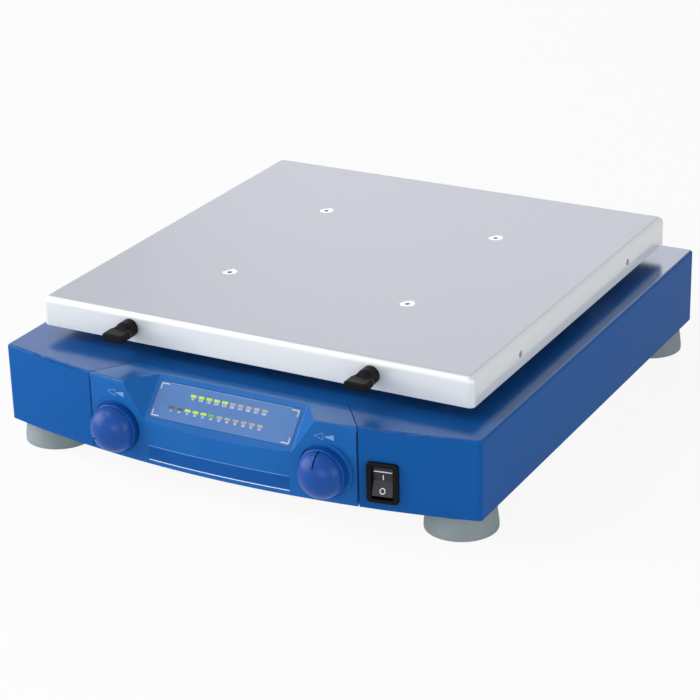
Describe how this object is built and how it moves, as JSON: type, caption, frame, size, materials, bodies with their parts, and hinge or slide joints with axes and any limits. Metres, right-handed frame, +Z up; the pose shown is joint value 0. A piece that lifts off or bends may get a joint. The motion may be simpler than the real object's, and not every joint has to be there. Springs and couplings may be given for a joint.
{
  "type": "orbital shaker",
  "caption": "Low laboratory orbital shaker: flat square tray on driven and idler cranks over a bowed cast housing with dial knobs, lit scales, mains switch and rubber feet.",
  "frame": {"origin": "centre of the outline seen from above, at the floor under the feet", "axes": "+Z up; +X to the right seen from the front; +Y to the back, so the knobs face -Y"},
  "size_m": [0.37, 0.415, 0.106],
  "materials": {
    "blue_paint": "satin",
    "blue_panel": "satin",
    "label_film": "satin",
    "clear_plastic": "gloss",
    "circuit_board": "satin",
    "pot_case": "matte",
    "steel": "satin",
    "blue_knob": "gloss",
    "black_plastic": "satin",
    "rocker_black": "gloss",
    "zinc_steel": "satin",
    "grey_rubber": "matte",
    "cast_aluminium": "satin",
    "motor_case": "satin",
    "black_rubber": "matte",
    "brass": "satin",
    "component_black": "satin",
    "tray_aluminium": "satin"
  },
  "bodies": {
    "base": {"housing": "blue_paint", "control_panel": "blue_panel", "display_label": "label_film", "light_guides": "clear_plastic", "display_board": "circuit_board", "control_board": "circuit_board", "speed_potentiometer": "pot_case", "time_potentiometer": "pot_case", "switch_body": "black_plastic", "power_inlet": "black_plastic", "inlet_blades": "steel", "base_plate": "zinc_steel", "base_screws": "steel", "foot_1": "grey_rubber", "foot_2": "grey_rubber", "foot_3": "grey_rubber", "foot_4": "grey_rubber", "foot_screws": "steel", "foot_nuts": "steel", "drive_pedestal": "cast_aluminium", "idler_pedestals": "cast_aluminium", "drive_bearings": "steel", "idler_bearings": "steel", "motor_bracket": "zinc_steel", "motor": "motor_case", "drive_belt": "black_rubber", "power_board": "circuit_board", "board_pillars": "brass", "power_components": "component_black"},
    "crank": {"crankshaft": "steel", "crank_pulley": "cast_aluminium", "counterweight": "zinc_steel"},
    "platform": {"carrier": "cast_aluminium", "pin_bearings": "steel", "tray": "tray_aluminium", "tray_screws": "steel", "press_nuts": "steel"},
    "idler_1": {"idler_crank_1": "steel"},
    "idler_2": {"idler_crank_2": "steel"},
    "idler_3": {"idler_crank_3": "steel"},
    "idler_4": {"idler_crank_4": "steel"},
    "motor_rotor": {"motor_shaft": "steel", "motor_pulley": "cast_aluminium"},
    "speed_dial": {"speed_knob": "blue_knob", "speed_shaft": "steel"},
    "time_dial": {"time_knob": "blue_knob", "time_shaft": "steel"},
    "rocker": {"power_rocker": "rocker_black"},
    "left_shank": {"left_thumb_shank": "steel"},
    "right_shank": {"right_thumb_shank": "steel"},
    "left_wing": {"left_thumb_screw": "black_plastic"},
    "right_wing": {"right_thumb_screw": "black_plastic"}
  },
  "joints": [
    {"name": "drive_spin", "type": "hinge", "parent": "base", "child": "crank", "pos_m": [0, 0.01547, 0.075], "axis": [0, 0, 1], "continuous": true},
    {"name": "platform_orbit", "type": "hinge", "parent": "crank", "child": "platform", "pos_m": [0, 0.02047, 0.075], "axis": [0, 0, 1], "continuous": true},
    {"name": "idler_1_spin", "type": "hinge", "parent": "base", "child": "idler_1", "pos_m": [-0.115, -0.09453, 0.075], "axis": [0, 0, 1], "continuous": true},
    {"name": "idler_2_spin", "type": "hinge", "parent": "base", "child": "idler_2", "pos_m": [0.115, -0.09453, 0.075], "axis": [0, 0, 1], "continuous": true},
    {"name": "idler_3_spin", "type": "hinge", "parent": "base", "child": "idler_3", "pos_m": [-0.115, 0.12547, 0.075], "axis": [0, 0, 1], "continuous": true},
    {"name": "idler_4_spin", "type": "hinge", "parent": "base", "child": "idler_4", "pos_m": [0.115, 0.12547, 0.075], "axis": [0, 0, 1], "continuous": true},
    {"name": "motor_spin", "type": "hinge", "parent": "base", "child": "motor_rotor", "pos_m": [-0.1, 0.01547, 0.05], "axis": [0, 0, 1], "continuous": true},
    {"name": "speed_knob_turn", "type": "hinge", "parent": "base", "child": "speed_dial", "pos_m": [-0.081, -0.18947, 0.0405], "axis": [0, 1, 0], "range_deg": [-30, 270]},
    {"name": "time_knob_turn", "type": "hinge", "parent": "base", "child": "time_dial", "pos_m": [0.081, -0.18947, 0.0405], "axis": [0, 1, 0], "range_deg": [-150, 150]},
    {"name": "power_rocker_tilt", "type": "hinge", "parent": "base", "child": "rocker", "pos_m": [0.12036, -0.17983, 0.038], "axis": [0.9871, 0.1602, 0], "range_deg": [0, 18]},
    {"name": "left_thumb_slide", "type": "slide", "parent": "platform", "child": "left_shank", "axis": [0, -1, 0], "range_m": [0, 0.0024]},
    {"name": "left_thumb_turn", "type": "hinge", "parent": "left_shank", "child": "left_wing", "pos_m": [-0.09425, -0.14783, 0.095], "axis": [0, -1, 0], "range_deg": [0, 1081]},
    {"name": "right_thumb_slide", "type": "slide", "parent": "platform", "child": "right_shank", "axis": [0, -1, 0], "range_m": [0, 0.0024]},
    {"name": "right_thumb_turn", "type": "hinge", "parent": "right_shank", "child": "right_wing", "pos_m": [0.09425, -0.14783, 0.095], "axis": [0, -1, 0], "range_deg": [0, 1081]}
  ],
  "couplings": [
    {"joint": "platform_orbit", "follows": "drive_spin", "ratio": -1},
    {"joint": "idler_1_spin", "follows": "drive_spin", "ratio": 1},
    {"joint": "idler_2_spin", "follows": "drive_spin", "ratio": 1},
    {"joint": "idler_3_spin", "follows": "drive_spin", "ratio": 1},
    {"joint": "idler_4_spin", "follows": "drive_spin", "ratio": 1},
    {"joint": "motor_spin", "follows": "drive_spin", "ratio": 3.9286},
    {"joint": "left_thumb_turn", "follows": "left_thumb_slide", "rad_per_m": 7854},
    {"joint": "right_thumb_turn", "follows": "right_thumb_slide", "rad_per_m": 7854}
  ]
}
